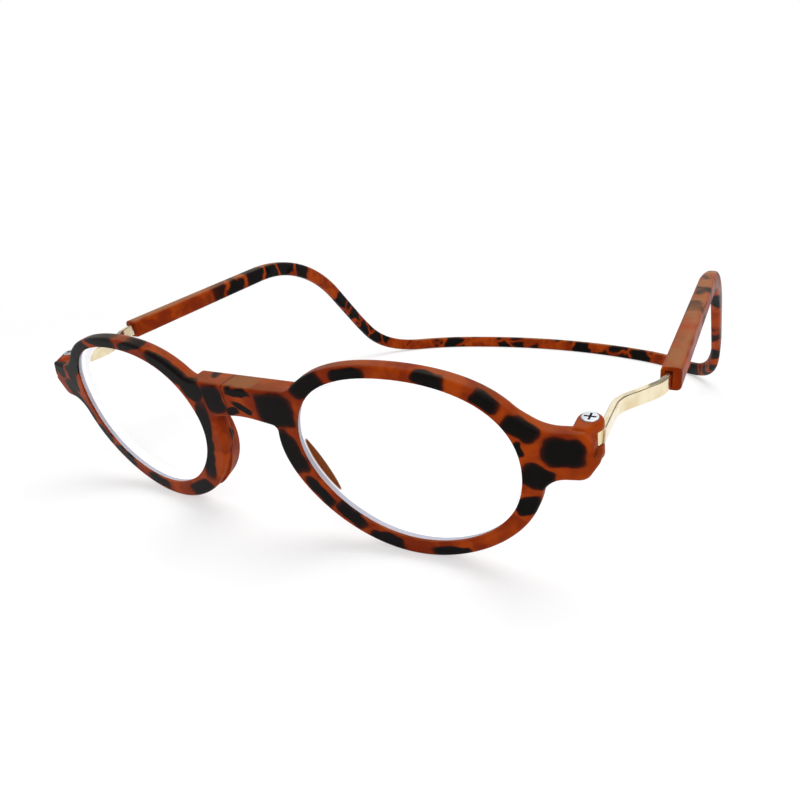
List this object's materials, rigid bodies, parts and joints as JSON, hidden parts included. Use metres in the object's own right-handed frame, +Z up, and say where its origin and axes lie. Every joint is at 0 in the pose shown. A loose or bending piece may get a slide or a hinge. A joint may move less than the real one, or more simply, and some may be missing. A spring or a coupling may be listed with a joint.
{
  "type": "magnetic bridge reading glasses",
  "caption": "Round reading glasses that part at a magnetic bridge, with sliding metal arms on a one-piece tortoise neck band.",
  "frame": {"origin": "on the table under the middle of the glasses' width and depth", "axes": "+X to the wearer's left, +Y from the lenses back to the neck, +Z up"},
  "size_m": [0.143, 0.1972, 0.0446],
  "materials": {
    "tortoise": "satin",
    "lens": "clear polished",
    "gold": "polished pale gold",
    "screw": "polished",
    "magnet": "plated",
    "steel": "plain"
  },
  "bodies": {
    "band_right": {"band_right": "tortoise"},
    "band_left": {"band_left": "tortoise"},
    "arm_left": {"arm_left": "gold", "detent_spring_left": "steel", "spring_rivet_left": "steel"},
    "arm_right": {"arm_right": "gold", "detent_spring_right": "steel", "spring_rivet_right": "steel"},
    "rim_left": {"rim_left": "tortoise", "lens_left": "lens", "bridge_magnet_left": "magnet", "magnet_cup_left": "steel", "hinge_screw_left": "screw", "screw_insert_left": "steel"},
    "rim_right": {"rim_right": "tortoise", "lens_right": "lens", "bridge_magnet_right": "magnet", "magnet_cup_right": "steel", "hinge_screw_right": "screw", "screw_insert_right": "steel"}
  },
  "joints": [
    {"name": "band_flex", "type": "hinge", "parent": "band_right", "child": "band_left", "pos_m": [0, 0.09841, 0.00225], "axis": [0, 0, 1], "range_deg": [0, 25], "stiffness_Nm_per_rad": 0.06},
    {"name": "arm_slide_left", "type": "slide", "parent": "band_left", "child": "arm_left", "axis": [0, -0.9799, -0.1994], "range_m": [0, 0.018]},
    {"name": "arm_slide_right", "type": "slide", "parent": "band_right", "child": "arm_right", "axis": [0, -0.9799, -0.1994], "range_m": [0, 0.018]},
    {"name": "rim_hinge_left", "type": "hinge", "parent": "arm_left", "child": "rim_left", "pos_m": [0.0615, -0.08648, 0.02716], "axis": [0, -0.279, 0.9603], "range_deg": [0, 15]},
    {"name": "rim_hinge_right", "type": "hinge", "parent": "arm_right", "child": "rim_right", "pos_m": [-0.0615, -0.08648, 0.02716], "axis": [0, 0.279, -0.9603], "range_deg": [0, 15]}
  ],
  "couplings": [
    {"joint": "arm_slide_right", "follows": "arm_slide_left", "ratio": 1}
  ]
}
